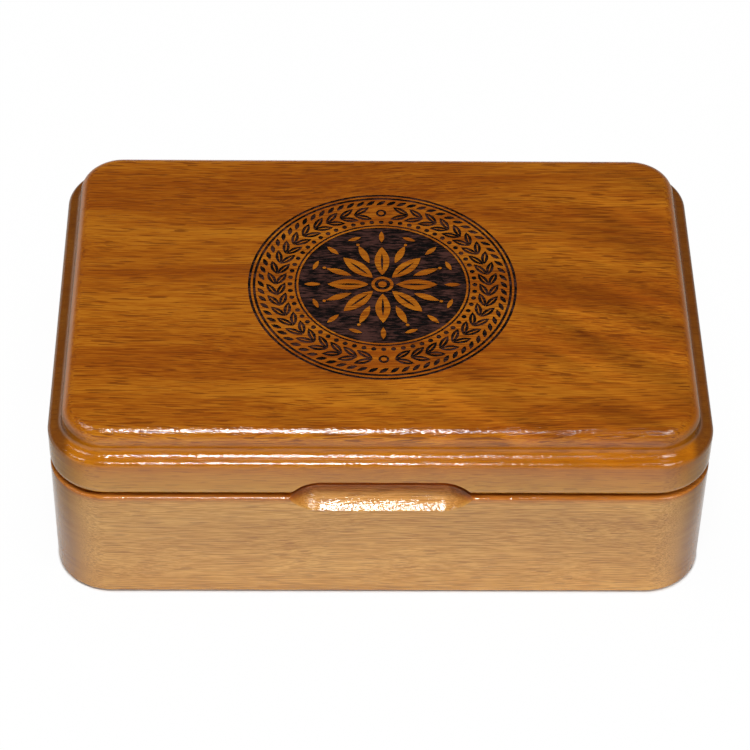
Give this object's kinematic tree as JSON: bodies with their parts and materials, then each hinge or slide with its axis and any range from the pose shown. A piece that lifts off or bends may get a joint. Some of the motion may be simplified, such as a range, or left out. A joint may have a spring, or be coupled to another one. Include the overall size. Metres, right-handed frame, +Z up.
{
  "type": "hinged badge display case",
  "caption": "Hinged hardwood presentation case with a raised engraved lid panel, a thumb scoop at the seam and a padded velvet insert recessed for a badge.",
  "frame": {"origin": "centre of the underside, on the surface the case stands on", "axes": "+Z up, +X to the right along the long side, front with the thumb scoop towards -Y, hinges along the back at +Y"},
  "size_m": [0.18, 0.121, 0.0595],
  "materials": {
    "hardwood": "open-pored tropical hardwood under clear gloss lacquer",
    "felt": "dark pressed felt",
    "velvet": "short-pile midnight blue velvet glued down",
    "velvet_pad": "short-pile midnight blue velvet over foam",
    "foam": "closed-cell foam block",
    "card": "grey-brown backing board",
    "ribbon": "woven satin ribbon",
    "lid_pad": "champagne satin over wadding",
    "hinge_brass": "satin brass",
    "pin_brass": "drawn brass rod",
    "screw_brass": "slotted brass screw",
    "magnet_nickel": "nickel-plated magnet"
  },
  "bodies": {
    "base": {"case_body": "hardwood", "base_felt": "felt", "floor_lining": "velvet", "wall_lining": "velvet", "foam_riser": "foam", "insert_board": "card", "badge_cushion": "velvet_pad", "pull_ribbon": "ribbon", "hinge_leaf_base_left": "hinge_brass", "hinge_leaf_base_right": "hinge_brass", "hinge_pin_left": "pin_brass", "hinge_pin_right": "pin_brass", "hinge_screws_base": "screw_brass", "magnets_base": "magnet_nickel"},
    "lid": {"lid_block": "hardwood", "lid_board": "card", "lid_cushion": "lid_pad", "hinge_leaf_lid_left": "hinge_brass", "hinge_leaf_lid_right": "hinge_brass", "hinge_screws_lid": "screw_brass", "magnets_lid": "magnet_nickel"}
  },
  "joints": [
    {"name": "lid_hinge", "type": "hinge", "parent": "base", "child": "lid", "pos_m": [0, 0.0575, 0.0388], "axis": [-1, 0, 0], "range_deg": [0, 98]}
  ]
}
